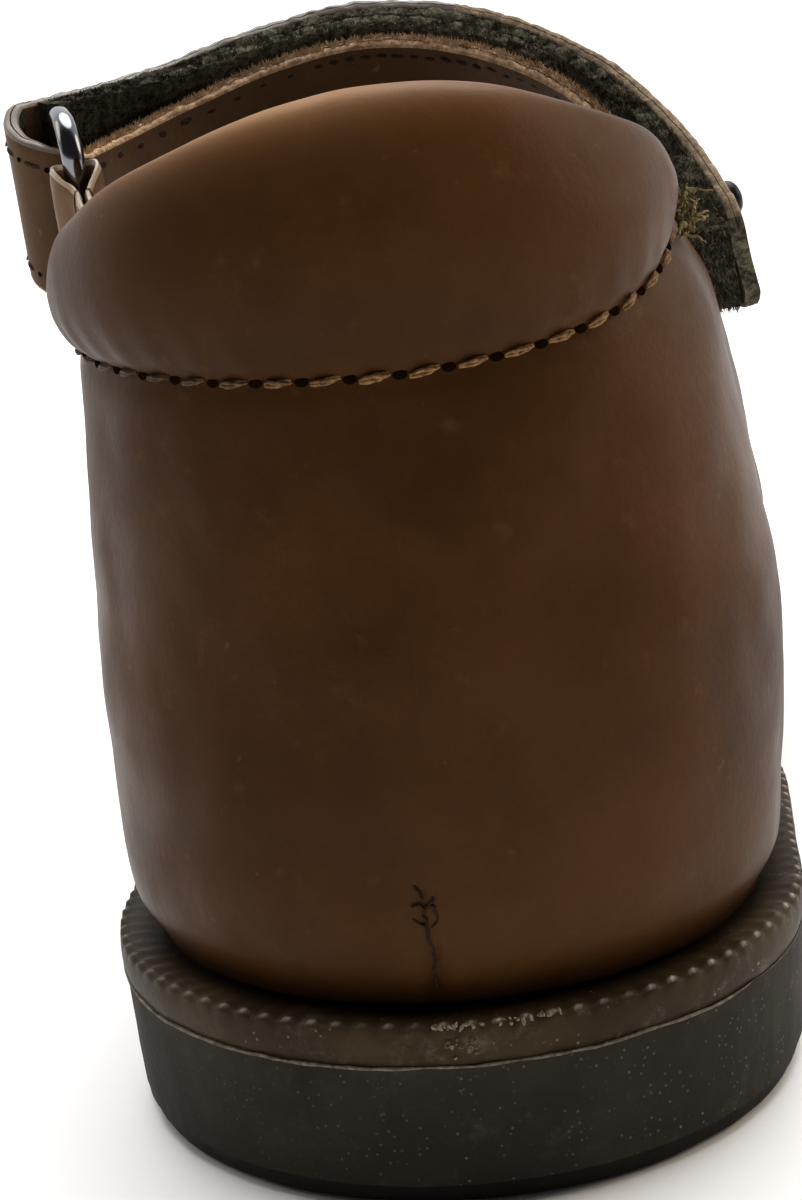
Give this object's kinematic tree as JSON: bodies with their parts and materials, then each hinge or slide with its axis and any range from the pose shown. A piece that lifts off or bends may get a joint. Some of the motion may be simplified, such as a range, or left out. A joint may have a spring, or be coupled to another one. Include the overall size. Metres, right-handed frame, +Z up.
{
  "type": "child's sandal",
  "caption": "Closed-heel leather sandal for a child's right foot, with padded collar, ankle strap turned back through a wire ring, open toe and layered rubber sole.",
  "frame": {"origin": "on the ground under the middle of the bounding box", "axes": "+Y from heel to toe, +X to the outer side of the foot, +Z up; the sandal stands on its sole"},
  "size_m": [0.0669, 0.16, 0.083],
  "materials": {
    "upper_leather": "smooth, slightly waxed, reddish brown",
    "strap_leather": "smooth outside, raw tan edges",
    "footbed_leather": "matt tan",
    "outsole_rubber": "matt, dusty",
    "welt_rubber": "satin olive brown",
    "touch_tape": "dark olive pile",
    "ring_metal": "polished",
    "stud_metal": "dark"
  },
  "bodies": {
    "root": {"outsole": "outsole_rubber", "welt": "welt_rubber", "insole": "footbed_leather", "upper": "upper_leather", "collar": "upper_leather", "ankle_strap": "strap_leather", "loop_tape": "touch_tape", "hook_tape": "touch_tape", "ring": "ring_metal", "ring_keeper": "strap_leather", "stud": "stud_metal"}
  },
  "joints": []
}
